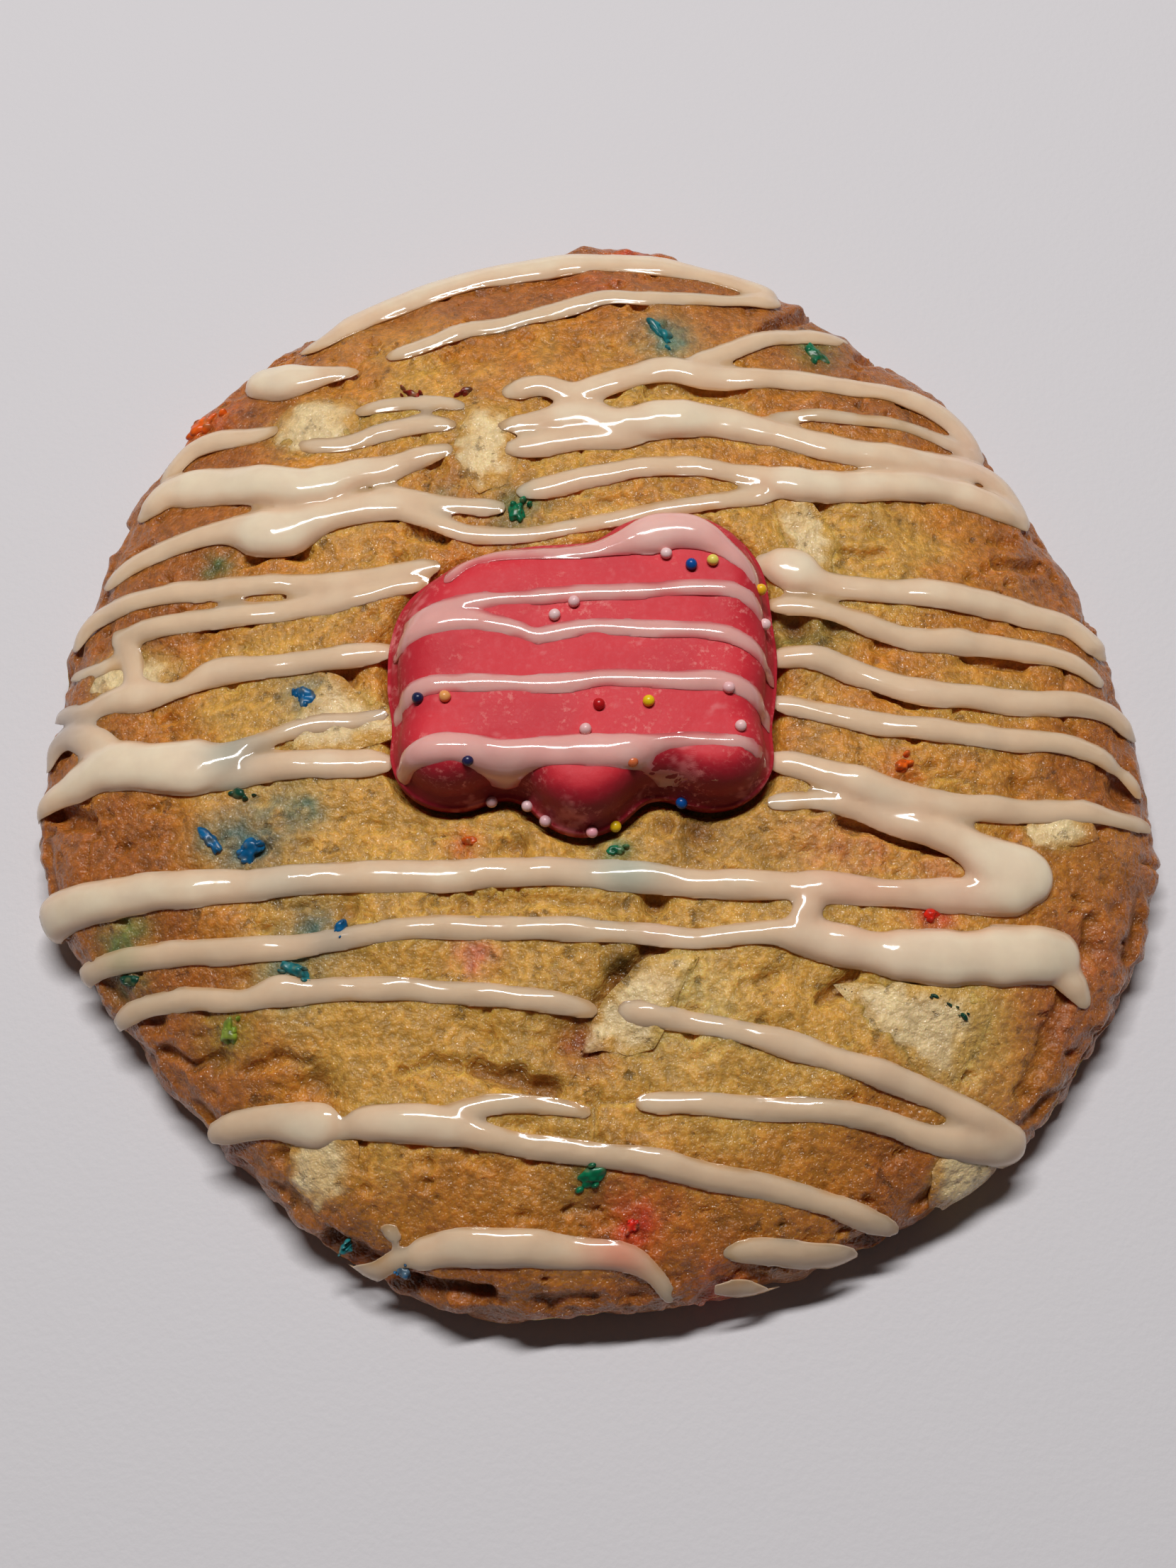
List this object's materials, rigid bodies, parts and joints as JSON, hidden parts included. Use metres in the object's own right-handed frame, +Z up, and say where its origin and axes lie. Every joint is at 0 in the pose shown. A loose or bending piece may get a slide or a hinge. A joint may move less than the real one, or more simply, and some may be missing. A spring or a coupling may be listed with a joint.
{
  "type": "birthday cake cookie",
  "caption": "Thick round baked cookie with a frosted animal biscuit pressed into its middle, white chunks set in the dough and icing drizzled to and fro across the top.",
  "frame": {"origin": "centre of the flat baked underside, under the middle of the whole outline", "axes": "+Z up through the cookie's thickness, +X to the right and +Y away from the viewer in the picture, so that the frosted biscuit's legs point to -Y"},
  "size_m": [0.0994, 0.1018, 0.0217],
  "materials": {
    "baked_dough": "golden-brown baked dough with a slight butter gloss, cream icing drizzled over it",
    "pink_frosting": "pink-red frosting, satin, with a pale bloom",
    "white_chunk": "ivory white confectionery, satin"
  },
  "bodies": {
    "root": {"cookie": "baked_dough", "frosted_biscuit": "pink_frosting", "white_chunk_1": "white_chunk", "white_chunk_2": "white_chunk", "white_chunk_3": "white_chunk", "white_chunk_4": "white_chunk", "white_chunk_5": "white_chunk", "white_chunk_6": "white_chunk", "white_chunk_7": "white_chunk", "white_chunk_8": "white_chunk", "white_chunk_9": "white_chunk", "white_chunk_10": "white_chunk"}
  },
  "joints": []
}
